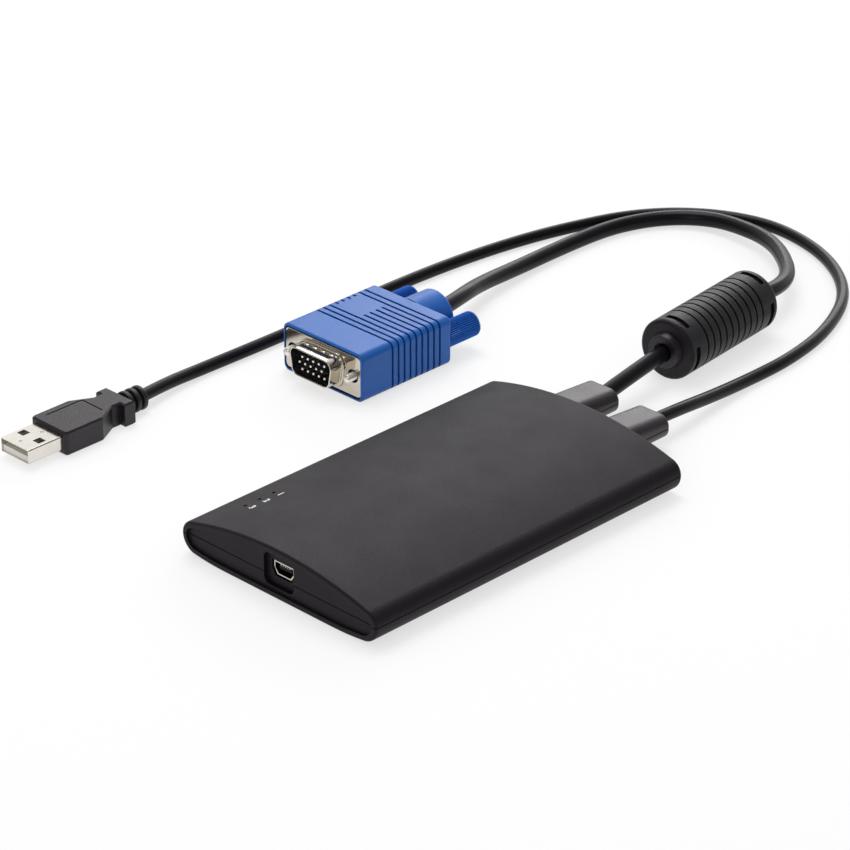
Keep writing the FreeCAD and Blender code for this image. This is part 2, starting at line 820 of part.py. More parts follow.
DATA_ROUTE = [
    point(s.data_boot_side, back_panel + s.data_boot_length, boot_end_level),
    Vector(9.8, 88.3, 6.2),
    Vector(8.0, 104.3, 3.7),
    Vector(6.4, 122.3, 1.9),
    Vector(6.2, 142.3, 1.9),
    Vector(1.6, 164.8, 1.9),
    Vector(-10.2, 188.3, 1.9),
    Vector(-31.0, 204.8, 1.9),
    Vector(-55.0, 211.6, 1.9),
    Vector(-72.2, 208.3, 1.9),
    Vector(-86.6, 198.8, 1.9),
    Vector(-95.6, 184.2, 1.9),
    Vector(-101.6, 168.3, 1.9),
    Vector(-106.8, 148.8, 1.9),
    Vector(-110.2, 124.3, 1.9),
    Vector(-111.5, 97.3, 1.9),
    Vector(-111.8, 67.3, 1.9),
    Vector(-111.6, 39.3, 1.9),
    Vector(-111.2, 14.3, 1.9),
    Vector(-109.8, 0.2, 2.8),
    point(s.data_plug_side, collar_end + relief_length, s.data_grip_height / 2),
]


def lead_path(name, route):
    """Straight runs joined by bends, each bend as large as its two runs allow."""
    edges = []
    start = route[0]
    for before, corner, after in zip(route, route[1:], route[2:]):
        back = before - corner
        onward = after - corner
        shorter = min(back.Length, onward.Length)
        turn = math.pi - back.getAngle(onward)
        setback = BEND_SHARE * shorter
        radius = setback / math.tan(turn / 2)
        back.normalize()
        onward.normalize()
        entry = corner + back * setback
        leave = corner + onward * setback
        inward = (back + onward).normalize()
        middle = corner + inward * (math.hypot(radius, setback) - radius)
        print("%s bend at (%.0f, %.0f): radius %.1f" % (name, corner.x, corner.y, radius))
        edges.append(Part.LineSegment(start, entry).toShape())
        edges.append(Part.Arc(entry, middle, leave).toShape())
        start = leave
    edges.append(Part.LineSegment(start, route[-1]).toShape())
    return Part.Wire(edges)


def build_lead(name, route, diameter):
    """One lead as a round tube along its route."""
    path = lead_path(name, route)
    ring = Part.Circle(route[0], route[1] - route[0], diameter.value / 2)
    section = Part.Wire([ring.toShape()])
    tube = path.makePipeShell([section], True, False)
    expected = math.pi * (diameter.value / 2) ** 2 * path.Length
    sizes = (name, path.Length, tube.Volume, expected)
    print("%s length %.1f, volume %.1f, section times length %.1f" % sizes)
    item = doc.addObject("Part::Feature", name + "_tube")
    item.Shape = tube
    finish(name, item)


# Ferrite sleeve: a grooved moulding round a ring core, with four windows near each end.

def ferrite_placement():
    """The sleeve lies along the straight stretch of the video lead."""
    axis = (FERRITE_EXIT - FERRITE_ENTRY).normalize()
    turn = FreeCAD.Rotation(ALONG_Y, axis)
    return FreeCAD.Placement(FERRITE_ENTRY + axis * s.ferrite_start.value, turn)


def ring_tool(name, start, width, outer_radius, inner_radius):
    """A ring round the Y axis."""
    outside = round_bar(name + "_outside", 0, start, 0, outer_radius, width)
    inside = round_bar(name + "_inside", 0, start, 0, inner_radius, width)
    return cut(name, outside, inside)


def end_collar(name, start, along):
    """The tapered collar round the lead on one end of the sleeve."""
    item = doc.addObject("Part::Cone", name)
    bind(item, "Radius1", s.ferrite_collar_radius)
    bind(item, "Radius2", s.ferrite_collar_end_radius)
    bind(item, "Height", s.ferrite_collar_height)
    item.Placement.Rotation = FreeCAD.Rotation(ALONG_Z, along)
    bind(item, "Placement.Base.y", start)
    return item


def window_tools(start):
    """Four arc shaped windows round the sleeve at one place along it."""
    tools = []
    inner = s.ferrite_radius - s.ferrite_window_depth
    outer = s.ferrite_radius + s.ferrite_window_depth
    for i in range(FERRITE_WINDOWS):
        name = "window_%d_%d" % (round(start.value), i)
        outside = round_bar(name + "_outside", 0, start, 0, outer, s.ferrite_window_width)
        bind(outside, "Angle", s.ferrite_window_angle)
        middle = i * FULL_TURN / FERRITE_WINDOWS + s.ferrite_window_turn.value
        spin = FreeCAD.Rotation(ALONG_Y, middle - s.ferrite_window_angle.value / 2)
        outside.Placement.Rotation = spin.multiply(FreeCAD.Rotation(ALONG_Z, ALONG_Y))
        inside = round_bar(name + "_inside", 0, start, 0, inner, s.ferrite_window_width)
        tools.append(cut(name, outside, inside))
    return tools


def build_ferrite():
    """The sleeve with its grooves, windows and end collars, and the core that it holds."""
    placement = ferrite_placement()
    bore = s.video_cable_diameter / 2 + s.fit
    body = round_bar("sleeve_bar", 0, 0, 0, s.ferrite_radius, s.ferrite_length)
    rounded = round_edges("sleeve_rounded", body, s.ferrite_edge, lies_at_y(0, s.ferrite_length))
    collars = [end_collar("sleeve_collar_near", as_size(0), -ALONG_Y),
               end_collar("sleeve_collar_far", s.ferrite_length, ALONG_Y)]
    whole = fuse("sleeve_whole", rounded, *collars)
    middle = s.ferrite_length / 2
    cavity = round_bar("sleeve_cavity", 0, middle - s.core_length / 2 - s.fit, 0, s.core_radius + s.fit,
                       s.core_length + 2 * s.fit)
    through = round_bar("sleeve_bore", 0, -s.ferrite_collar_height, 0, bore,
                        s.ferrite_length + 2 * s.ferrite_collar_height)
    grooves = []
    for i in range(FERRITE_GROOVES):
        start = middle + (i - (FERRITE_GROOVES - 1) / 2) * s.ferrite_groove_pitch - s.ferrite_groove_width / 2
        grooves.append(ring_tool("sleeve_groove_%d" % i, start, s.ferrite_groove_width,
                                 s.ferrite_radius + s.ferrite_groove_depth,
                                 s.ferrite_radius - s.ferrite_groove_depth))
    near = s.ferrite_window_place
    far = s.ferrite_length - s.ferrite_window_place - s.ferrite_window_width
    windows = window_tools(near) + window_tools(far)
    sleeve = cut("sleeve_cut", whole, cavity, through, *grooves, *windows)
    finish("ferrite_sleeve", sleeve, placement)
    core_start = middle - s.core_length / 2
    core = ring_tool("core_ring", core_start, s.core_length, s.core_radius, s.core_bore)
    finish("ferrite_core", core, placement)


# Video plug: a ribbed grip with a D shaped shell in front and a thumbscrew on each side.

video_level = s.video_grip_height / 2
grip_back = s.video_plug_front + s.video_grip_length
flange_front = s.video_plug_front + s.video_recess - s.flange_thickness
flange_back = s.video_plug_front + s.video_recess


def jack_sides():
    """The two thumbscrews, left and right."""
    return {"left": s.video_plug_side - s.jack_spacing / 2, "right": s.video_plug_side + s.jack_spacing / 2}


def shell_outline(inset):
    """The D shape: broad above, with slanted sides and rounded corners."""
    x = s.video_plug_side
    broad = s.shell_width / 2 - inset
    narrow = broad - s.shell_slant * 2
    low = video_level - s.shell_height / 2 + inset
    high = video_level + s.shell_height / 2 - inset
    r = s.shell_rounding - inset
    lean = s.shell_slant * 2 * r / s.shell_height
    points = [(x - narrow + r, low), (x + narrow - r, low), (x + narrow + lean, low + r),
              (x + broad - lean, high - r), (x + broad - r, high), (x - broad + r, high),
              (x - broad + lean, high - r), (x - narrow - lean, low + r)]
    return points, {1: r, 3: r, 5: r, 7: r}


def recess_outline(inset):
    """The shallow recess in the grip's front, where the flange sits."""
    return rounded_rectangle(s.video_plug_side, video_level, s.video_grip_width - 2 * (s.video_rim + inset),
                             s.video_grip_height - 2 * (s.video_rim + inset), s.video_recess_rounding - inset)


def grip_groove(i):
    """One groove round the grip, cut short on top where the plain pad is."""
    name = "grip_groove_%d" % i
    start = s.video_plug_front + s.grip_groove_first + i * s.grip_groove_pitch - s.grip_groove_width / 2
    outside = middle_box(name + "_outside", s.video_plug_side, start, video_level, s.video_grip_width * 2,
                         s.grip_groove_width, s.video_grip_height * 2)
    depth = s.grip_groove_depth
    outline = rounded_rectangle(s.video_plug_side, video_level, s.video_grip_width - 2 * depth,
                                s.video_grip_height - 2 * depth, s.video_grip_rounding - depth)
    inside = prism(name + "_inside", "XZ", start, s.grip_groove_width, *outline)
    if i not in GRIP_PLAIN_GROOVES:
        return cut(name, outside, inside)
    pad = box(name + "_pad", s.video_plug_side - s.video_grip_width / 2 + s.grip_pad_left, start, video_level,
              s.grip_pad_width, s.grip_groove_width, s.video_grip_height)
    return cut(name, outside, inside, pad)


def build_video_grip():
    """The moulded grip with its recess, ribs, cable boss and the two screw channels."""
    outline = rounded_rectangle(s.video_plug_side, video_level, s.video_grip_width, s.video_grip_height,
                                s.video_grip_rounding)
    block = prism("video_grip_block", "XZ", s.video_plug_front, s.video_grip_length, *outline)
    ends = lies_at_y(s.video_plug_front, grip_back)
    rounded = round_edges("video_grip_rounded", block, s.video_grip_edge, ends)
    boss = round_bar("video_boss", s.video_plug_side, grip_back, video_level, s.video_boss_radius,
                     s.video_boss_length)
    boss_round = round_edges("video_boss_round", boss, s.video_boss_edge, lies_at_y(boss_end))
    whole = fuse("video_grip_whole", rounded, boss_round)
    recess = prism("video_recess", "XZ", s.video_plug_front, s.video_recess, *recess_outline(as_size(0)))
    seat = prism("insulator_seat", "XZ", flange_back, s.insulator_depth + s.fit, *shell_outline(-s.fit))
    channel_radius = s.jack_radius + s.loose_fit
    channels = [round_bar("jack_channel_" + side, x, s.video_plug_front, video_level, channel_radius,
                          s.video_grip_length) for side, x in jack_sides().items()]
    grooves = [grip_groove(i) for i in range(GRIP_GROOVES)]
    finish("video_plug_grip", cut("video_grip_cut", whole, recess, seat, *channels, *grooves))


def shell_bumps(front):
    """The pressed bumps above and below on the skirt, which grip the socket."""
    bumps = []
    for row, level in enumerate((video_level - s.shell_height / 2, video_level + s.shell_height / 2)):
        for i in range(SHELL_BUMPS):
            bump = doc.addObject("Part::Ellipsoid", "shell_bump_%d_%d" % (row, i))
            bind(bump, "Radius1", s.bump_height)
            bind(bump, "Radius2", s.bump_width / 2)
            bind(bump, "Radius3", s.bump_length / 2)
            x = s.video_plug_side + (i - (SHELL_BUMPS - 1) / 2) * s.bump_pitch
            place(bump, x, front + s.bump_place, level)
            bumps.append(bump)
    return bumps


def build_video_shell():
    """The flange that fills the recess and the D shaped skirt round the pins, in one drawing."""
    flange = prism("flange", "XZ", flange_front, s.flange_thickness, *recess_outline(s.fit))
    front = flange_front - s.shell_reach
    skirt = prism("skirt", "XZ", front, s.shell_reach, *shell_outline(as_size(0)))
    step = prism("skirt_step", "XZ", flange_front - s.shell_step, s.shell_step, *shell_outline(-s.shell_step))
    depth = s.shell_reach + s.flange_thickness
    hollow = prism("skirt_hollow", "XZ", front, depth, *shell_outline(s.shell_sheet))
    holes = [round_bar("jack_hole_" + side, x, flange_front, video_level, s.jack_hole_radius,
                       s.flange_thickness) for side, x in jack_sides().items()]
    whole = fuse("video_shell_whole", flange, skirt, step, *shell_bumps(front))
    finish("video_plug_shell", cut("video_shell_cut", whole, hollow, *holes))


def build_insulator_and_pins():
    """The insulator behind the flange, and fifteen pins in three rows."""
    inside = shell_outline(s.shell_sheet + s.fit)
    face = prism("insulator_face", "XZ", flange_front, s.flange_thickness, *inside)
    rear = prism("insulator_rear", "XZ", flange_back, s.insulator_depth, *shell_outline(as_size(0)))
    pins = []
    holes = []
    for row in (-1, 0, 1):
        shift = s.pin_row_shift if row else -s.pin_row_shift
        for i in range(PINS_IN_ROW):
            x = s.video_plug_side + (i - (PINS_IN_ROW - 1) / 2) * s.pin_pitch + shift
            z = video_level + row * s.pin_row_pitch
            name = "%d_%d" % (row + 1, i)
            pin = round_bar("pin_bar_" + name, x, flange_front - s.pin_length, z, s.pin_radius,
                            s.pin_length + s.flange_thickness)
            tip = lies_at_y(flange_front - s.pin_length)
            pins.append(round_edges("pin_" + name, pin, s.pin_tip_bevel, tip, "Part::Chamfer"))
            holes.append(round_bar("pin_hole_" + name, x, flange_front, z, s.pin_radius, s.flange_thickness))
    finish("video_plug_insulator", cut("insulator_cut", fuse("insulator_fuse", face, rear), *holes))
    finish("video_plug_pins", fuse("video_pins_group", *pins))


def build_thumbscrew(side, x):
    """One thumbscrew: a steel screw and the fluted knob moulded on its end."""
    knob_front = grip_back + s.knob_gap
    tip = flange_front - s.jack_reach
    shaft_end = knob_front + s.knob_length / 2
    shaft = round_bar(side + "_shaft", x, tip, video_level, s.jack_radius, shaft_end - tip)
    pointed = round_edges(side + "_pointed", shaft, s.jack_tip, lies_at_y(tip), "Part::Chamfer")
    finish(side + "_screw", pointed)
    build_knob(side + "_knob", x, knob_front)


def build_knob(name, x, front):
    """A round knob with flutes along it, hollow where the screw's end sits."""
    body = doc.addObject("PartDesign::Body", name + "_body")
    flat = next(f for f in body.Origin.OriginFeatures if f.Role == "XZ_Plane")
    disc = body.newObject("Sketcher::SketchObject", name + "_disc")
    disc.AttachmentSupport = [(flat, "")]
    disc.MapMode = "FlatFace"
    draw_circle(disc, 0, 0, s.knob_radius)
    pad = body.newObject("PartDesign::Pad", name + "_pad")
    pad.Profile = disc
    bind(pad, "Length", s.knob_length)
    pad.Reversed = True
    doc.recompute()
    ends = lies_at_y(s.knob_length)
    far = ["Edge%d" % i for i, edge in enumerate(pad.Shape.Edges, 1) if ends(edge)]
    dome = body.newObject("PartDesign::Fillet", name + "_dome")
    dome.Base = (pad, far)
    bind(dome, "Radius", s.knob_rounding)
    doc.recompute()
    hole = body.newObject("Sketcher::SketchObject", name + "_hole")
    hole.AttachmentSupport = [(flat, "")]
    hole.MapMode = "FlatFace"
    draw_circle(hole, 0, 0, s.jack_radius + s.fit)
    socket = body.newObject("PartDesign::Pocket", name + "_socket")
    socket.Profile = hole
    bind(socket, "Length", s.knob_length / 2 + s.fit)
    doc.recompute()
    flute = body.newObject("Sketcher::SketchObject", name + "_flute")
    flute.AttachmentSupport = [(flat, "")]
    flute.MapMode = "FlatFace"
    draw_circle(flute, s.knob_radius, 0, s.knob_flute_radius)
    groove = body.newObject("PartDesign::Pocket", name + "_groove")
    groove.Profile = flute
    bind(groove, "Length", s.knob_length)
    doc.recompute()
    flutes = body.newObject("PartDesign::PolarPattern", name + "_flutes")
    flutes.Originals = [groove]
    axis = next(f for f in body.Origin.OriginFeatures if f.Role == "Y_Axis")
    flutes.Axis = (axis, [""])
    flutes.Angle = FULL_TURN
    flutes.Occurrences = KNOB_FLUTES
    body.Tip = flutes
    place(body, x, front, video_level)
    finish(name, body)


def draw_circle(sketch, u, v, radius):
    """A circle whose centre and radius are tied to the sheet."""
    u = as_size(u)
    v = as_size(v)
    radius = as_size(radius)
    number = sketch.addGeometry(Part.Circle(Vector(u.value, v.value, 0), ALONG_Z, radius.value), False)
    rules = (("DistanceX", u), ("DistanceY", v))
    for kind, amount in rules:
        rule = sketch.addConstraint(Sketcher.Constraint(kind, -1, 1, number, 3, amount.value))
        sketch.setExpression("Constraints[%d]" % rule, amount.text)
    rule = sketch.addConstraint(Sketcher.Constraint("Radius", number, radius.value))
    sketch.setExpression("Constraints[%d]" % rule, radius.text)


# Data plug: a flat grip with a waist and a collar, a ringed relief behind it and a metal shell in front.

data_level = s.data_grip_height / 2
waist_start = s.data_plug_front + s.data_grip_straight + s.data_grip_taper
collar_start = waist_start + s.data_grip_waist_length


def build_data_grip():
    """The moulded grip, with a seat for the shell and a border line on top."""
    x = s.data_plug_side
    wide = s.data_grip_width / 2
    waist = s.data_grip_waist / 2
    collar = s.data_grip_collar / 2
    shoulder = s.data_plug_front + s.data_grip_straight
    corner = s.data_grip_corner
    right = [(wide - corner, s.data_plug_front), (wide, s.data_plug_front + corner), (wide, shoulder),
             (waist, waist_start), (waist, collar_start), (collar, collar_start), (collar, collar_end)]
    points = [(x + side, y) for side, y in right] + [(x - side, y) for side, y in reversed(right)]
    block = prism("data_grip_block", "XY", as_size(0), s.data_grip_height, points, {0: corner, 12: corner})
    top = s.data_grip_height.value

    def faces(edge):
        bounds = edge.BoundBox
        flat = bounds.ZMax - bounds.ZMin < NEAR
        return flat and (abs(bounds.ZMin) < NEAR or abs(bounds.ZMin - top) < NEAR)
    bevelled = round_edges("data_grip_bevelled", block, s.data_grip_edge, faces, "Part::Chamfer")
    core = round_bar("relief_core", x, collar_end, data_level, s.relief_core_radius, relief_length)
    rings = []
    for i in range(RELIEF_RINGS):
        start = collar_end + s.relief_ring_gap + i * (s.relief_ring_length + s.relief_ring_gap)
        ring = round_bar("relief_bar_%d" % i, x, start, data_level, s.relief_ring_radius,
                         s.relief_ring_length)
        ends = lies_at_y(start, start + s.relief_ring_length)
        rings.append(round_edges("relief_ring_%d" % i, ring, s.relief_ring_rounding, ends))
    whole = fuse("data_grip_whole", bevelled, core, *rings)
    seat = middle_box("data_shell_seat_cut", x, s.data_plug_front, data_level, s.data_shell_width + 2 * s.fit,
                      s.data_shell_seat + s.fit, s.data_shell_height + 2 * s.fit)
    level = s.data_grip_height - s.border_depth
    left = x - wide + s.border_side
    border_front = s.data_plug_front + s.border_start
    across = border_front + s.border_length - s.border_width
    lines = [box("border_long", left, border_front, level, s.border_width, s.border_length, s.border_depth),
             box("border_across", left, across, level, s.border_cross, s.border_width, s.border_depth)]
    finish("data_plug_grip", cut("data_grip_cut", whole, seat, *lines))


def build_data_shell():
    """The sheet metal shell with two latch holes above and below, and two small dimples on top."""
    x = s.data_plug_side
    front = s.data_plug_front - s.data_shell_reach
    length = s.data_shell_reach + s.data_shell_seat
    outline = rounded_rectangle(x, data_level, s.data_shell_width, s.data_shell_height, s.data_shell_rounding)
    outer = prism("data_shell_outer", "XZ", front, length, *outline)
    inner = middle_box("data_shell_inner", x, front, data_level, s.data_shell_width - 2 * s.data_shell_sheet,
                       length, s.data_shell_height - 2 * s.data_shell_sheet)
    holes = [box("latch_hole_%d" % i, x + side * s.latch_side - s.latch_hole / 2,
                 front + s.latch_place - s.latch_hole / 2, as_size(0), s.latch_hole, s.latch_hole,
                 s.data_grip_height) for i, side in enumerate((-1, 1))]
    dimple_floor = data_level + s.data_shell_height / 2 - s.dimple_depth
    dimples = [round_bar("dimple_%d" % i, x, front + y, dimple_floor, s.dimple_radius, s.dimple_depth,
                         ALONG_Z) for i, y in enumerate((s.dimple_front, s.dimple_back))]
    finish("data_plug_shell", cut("data_shell_cut", outer, inner, *holes, *dimples))


def build_data_tongue():
    """The tongue in the lower half of the shell, the block behind it and four contacts on top."""
    x = s.data_plug_side
    front = s.data_plug_front - s.data_shell_reach
    floor = data_level - s.data_shell_height / 2 + s.data_shell_sheet
    length = s.data_shell_reach + s.data_shell_seat - s.tongue_setback
    left = x - s.tongue_width / 2
    tongue = box("tongue_bar", left, front + s.tongue_setback, floor, s.tongue_width, length, s.tongue_height)
    inside_height = s.data_shell_height - 2 * s.data_shell_sheet
    back = box("tongue_back", left, s.data_plug_front, floor, s.tongue_width, s.data_shell_seat,
               inside_height)
    finish("data_plug_tongue", fuse("tongue_fuse", tongue, back))
    strips = []
    inner_side = s.contact_inner_side
    outer_side = s.contact_outer_side
    for i, side in enumerate((-outer_side, -inner_side, inner_side, outer_side)):
        strips.append(box("contact_%d" % i, x + side - s.contact_width / 2, front + s.contact_setback,
                          floor + s.tongue_height, s.contact_width, s.contact_length, s.contact_height))
    finish("data_plug_contacts", fuse("contacts_group", *strips))


def check_document():
    """Stop if any object failed, or if a sub-part has no sound solid."""
    doc.recompute()
    failed = [item.Name for item in doc.Objects if "Invalid" in item.State or "Error" in item.State]
    if failed:
        raise SystemExit("failed objects: %s" % ", ".join(failed))
    for name, item in finished.items():
        if item.Shape.isNull() or not item.Shape.isValid() or not item.Shape.Solids:
            raise SystemExit("no sound solid in %s" % name)


build_bottom_cover()
build_top_cover()
build_case_screws()
build_board()
build_packages()
build_indicators()
build_port()
build_boot("video_boot", s.video_boot_side, s.video_boot_length)
build_boot("data_boot", s.data_boot_side, s.data_boot_length)
build_lead_ends("video", s.video_boot_side, s.video_header_width)
build_lead_ends("data", s.data_boot_side, s.data_header_width)
build_ferrite()
build_lead("video_cable", VIDEO_ROUTE, s.video_cable_diameter)
build_lead("data_cable", DATA_ROUTE, s.data_cable_diameter)
build_video_grip()
build_video_shell()
build_insulator_and_pins()
for side, x in jack_sides().items():
    build_thumbscrew(side, x)
build_data_grip()
build_data_shell()
build_data_tongue()

check_document()
os.makedirs("parts", exist_ok=True)
for name, item in finished.items():
    item.Shape.exportStep("parts/%s.step" % name)
    print("%s: %d solids, volume %.1f" % (name, len(item.Shape.Solids), item.Shape.Volume))
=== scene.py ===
import bmesh
import bpy
import json
import math
from functools import partial
from mathutils import Matrix, Vector


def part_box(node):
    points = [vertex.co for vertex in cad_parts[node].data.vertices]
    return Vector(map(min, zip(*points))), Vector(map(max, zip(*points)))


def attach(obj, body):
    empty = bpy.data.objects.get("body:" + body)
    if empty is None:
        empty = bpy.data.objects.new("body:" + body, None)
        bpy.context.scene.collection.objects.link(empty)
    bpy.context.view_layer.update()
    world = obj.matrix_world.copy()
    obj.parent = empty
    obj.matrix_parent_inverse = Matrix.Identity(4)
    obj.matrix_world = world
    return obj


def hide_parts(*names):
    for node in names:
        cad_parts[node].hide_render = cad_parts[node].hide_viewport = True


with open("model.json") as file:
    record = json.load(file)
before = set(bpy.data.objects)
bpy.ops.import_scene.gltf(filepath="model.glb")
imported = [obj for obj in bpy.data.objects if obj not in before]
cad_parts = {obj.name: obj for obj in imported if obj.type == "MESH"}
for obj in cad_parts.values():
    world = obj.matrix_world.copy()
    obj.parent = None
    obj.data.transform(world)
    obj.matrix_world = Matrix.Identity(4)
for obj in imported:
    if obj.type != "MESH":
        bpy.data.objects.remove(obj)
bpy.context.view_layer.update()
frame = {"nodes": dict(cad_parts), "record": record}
nodes = frame["nodes"]
scene = bpy.context.scene
MM = 0.001
RIGHT_ANGLE = math.pi / 2
SIDES = ("left", "right")


# Materials: each finish is procedural, with two tones, a fine grain in its relief and a drift in its gloss;
# where a finish has a crevice reach, shade is painted into its colour in grooves and corners.

NOISE_MIDDLE = (0.3, 0.7)
CLOUD_SIZE = 11.0
CLOUD_DETAIL = 3.0
CLOUD_SHARE = 0.55
SPECK_DETAIL = 2.0
SPECK_SHARE = 0.45
EDGE_SAMPLES = 4
# Painted shade in grooves and corners: the occlusion's samples, its range from a deep groove to an open face,
# and the share of the colour kept from the deepest groove to an open face.
GROOVE_SAMPLES = 8
GROOVE_TO_OPEN = (0.30, 0.80)
PAINTED_GROOVE_SHADE = (0.15, 1.0)
WHITE = (1.0, 1.0, 1.0)
WARM = (1.0, 0.93, 0.98)
COOL = (0.86, 0.95, 1.0)


class Tree:
    """Short ways to add and join the nodes of a material or of the world."""

    def __init__(self, tree):
        self.nodes = tree.nodes
        self.links = tree.links

    def add(self, kind, **inputs):
        """A new node, with values for its sockets by name."""
        node = self.nodes.new("ShaderNode" + kind)
        for socket, value in inputs.items():
            node.inputs[socket.replace("_", " ")].default_value = value
        return node

    def join(self, output, target):
        """Link a node's output to another's socket."""
        self.links.new(output, target)

    def math(self, operation, first, second):
        """The result of an operation on two values, each a number or a node's output."""
        node = self.add("Math")
        node.operation = operation
        for socket, value in zip(node.inputs, (first, second)):
            if isinstance(value, float):
                socket.default_value = value
            else:
                self.join(value, socket)
        return node.outputs[0]

    def carry(self, value, source, target):
        """A value carried over from one range to another, and kept inside it."""
        node = self.add("MapRange", From_Min=source[0], From_Max=source[1],
                        To_Min=target[0], To_Max=target[1])
        self.join(value, node.inputs["Value"])
        return node.outputs["Result"]

    def seen_rays(self):
        """One for rays that show the backdrop: the camera's own, mirrored ones and those through glass."""
        path = self.add("LightPath").outputs
        direct = self.math("MAXIMUM", path["Is Camera Ray"], path["Is Glossy Ray"])
        return self.math("MAXIMUM", direct, path["Is Transmission Ray"])


class Finish(Tree):
    """A material in the making."""

    def __init__(self, name):
        self.material = bpy.data.materials.new(name)
        self.material.use_nodes = True
        super().__init__(self.material.node_tree)
        self.shader = self.nodes["Principled BSDF"]

    def noise(self, size_mm, detail):
        """A noise whose blotches are about so large."""
        texture = self.add("TexNoise", Scale=1 / (size_mm * MM), Detail=detail)
        self.join(self.add("TexCoord").outputs["Object"], texture.inputs["Vector"])
        return texture.outputs["Fac"]

    def tones(self, blend, dark, light):
        """A colour between two tones."""
        tone = self.add("MixRGB", Color1=(*dark, 1), Color2=(*light, 1))
        self.join(self.carry(blend, NOISE_MIDDLE, (0.0, 1.0)), tone.inputs["Fac"])
        return tone.outputs["Color"]

    def paint_groove_shade(self, colour, reach_mm):
        """Painted shade: a colour made darker in grooves and corners, where another face lies within reach.
        """
        hollow = self.add("AmbientOcclusion", Distance=reach_mm * MM)
        hollow.samples = GROOVE_SAMPLES
        painted_shade = self.add("MixRGB", Fac=1.0)
        painted_shade.blend_type = "MULTIPLY"
        self.join(colour, painted_shade.inputs["Color1"])
        self.join(self.carry(hollow.outputs["AO"], GROOVE_TO_OPEN, PAINTED_GROOVE_SHADE), painted_shade.inputs["Color2"])
        return painted_shade.outputs["Color"]

    def relief(self, speck, depth_mm, edge_mm):
        """A grain so deep, on edges that look rounded to a radius."""
        bump = self.add("Bump", Distance=depth_mm * MM)
        self.join(speck, bump.inputs["Height"])
        if edge_mm:
            soft = self.add("Bevel", Radius=edge_mm * MM)
            soft.samples = EDGE_SAMPLES
            self.join(soft.outputs["Normal"], bump.inputs["Normal"])
        return bump.outputs["Normal"]


def plastic(name, dark, light, rough, grain, specular=0.5, tint=WHITE, edge=0.0, drift=0.06, metallic=0.0,
            crevice=0.0):
    """A moulded or plated surface. In millimetres, grain is the size and the depth of its relief, edge is the
    radius of its edges, and crevice is the reach of the shade painted into its colour in grooves and corners."""
    finish = Finish(name)
    sockets = finish.shader.inputs
    sockets["Metallic"].default_value = metallic
    sockets["Specular IOR Level"].default_value = specular
    sockets["Specular Tint"].default_value = (*tint, 1)
    size, depth = grain
    cloud = finish.noise(CLOUD_SIZE, CLOUD_DETAIL)
    speck = finish.noise(size, SPECK_DETAIL)
    blend = finish.math("ADD", finish.math("MULTIPLY", cloud, CLOUD_SHARE),
                        finish.math("MULTIPLY", speck, SPECK_SHARE))
    colour = finish.tones(blend, dark, light)
    # Painted shade: the colour is darkened in grooves and corners within the crevice reach.
    if crevice:
        colour = finish.paint_groove_shade(colour, crevice)
    finish.join(colour, sockets["Base Color"])
    finish.join(finish.carry(blend, NOISE_MIDDLE, (rough - drift, rough + drift)), sockets["Roughness"])
    finish.join(finish.relief(speck, depth, edge), sockets["Normal"])
    return finish.material


CASE = plastic("case_soft_coat", (0.0070, 0.0052, 0.0074), (0.0098, 0.0076, 0.0102), rough=0.52,
               grain=(0.34, 0.066), specular=0.18, tint=WARM, edge=0.18)
CABLE = plastic("cable_jacket", (0.0040, 0.0034, 0.0046), (0.0064, 0.0055, 0.0072), rough=0.30,
                grain=(0.25, 0.004), specular=0.16, tint=WARM, drift=0.02)
BOOT = plastic("boot_vinyl", (0.0078, 0.0066, 0.0080), (0.0130, 0.0112, 0.0134), rough=0.35,
               grain=(0.45, 0.095), specular=0.50, tint=WARM, edge=0.2, crevice=0.6)
GRIP = plastic("grip_vinyl", (0.0074, 0.0063, 0.0078), (0.0118, 0.0103, 0.0124), rough=0.38,
               grain=(0.45, 0.090), specular=0.42, tint=WARM, edge=0.2, crevice=1.0)
SLEEVE = plastic("sleeve_vinyl", (0.0066, 0.0056, 0.0069), (0.0118, 0.0102, 0.0122), rough=0.40,
                 grain=(0.45, 0.090), specular=0.24, tint=WARM, edge=0.15, crevice=0.6)
COLLAR = plastic("collar_vinyl", (0.0066, 0.0056, 0.0069), (0.0118, 0.0102, 0.0122), rough=0.36,
                 grain=(0.45, 0.060), specular=0.42, tint=WARM, edge=0.10, crevice=0.5)
BLUE = plastic("blue_vinyl", (0.007, 0.090, 0.390), (0.013, 0.120, 0.465), rough=0.34,
               grain=(0.45, 0.050), specular=0.34, tint=COOL, edge=0.22, crevice=0.8)
KNOB = plastic("blue_knob", (0.010, 0.120, 0.540), (0.018, 0.160, 0.640), rough=0.28,
               grain=(0.45, 0.010), specular=0.50, tint=COOL, crevice=0.45)
NICKEL = plastic("bright_nickel", (0.56, 0.50, 0.42), (0.72, 0.67, 0.58), rough=0.13,
                 grain=(0.30, 0.002), edge=0.06, drift=0.03, metallic=1.0, crevice=1.2)
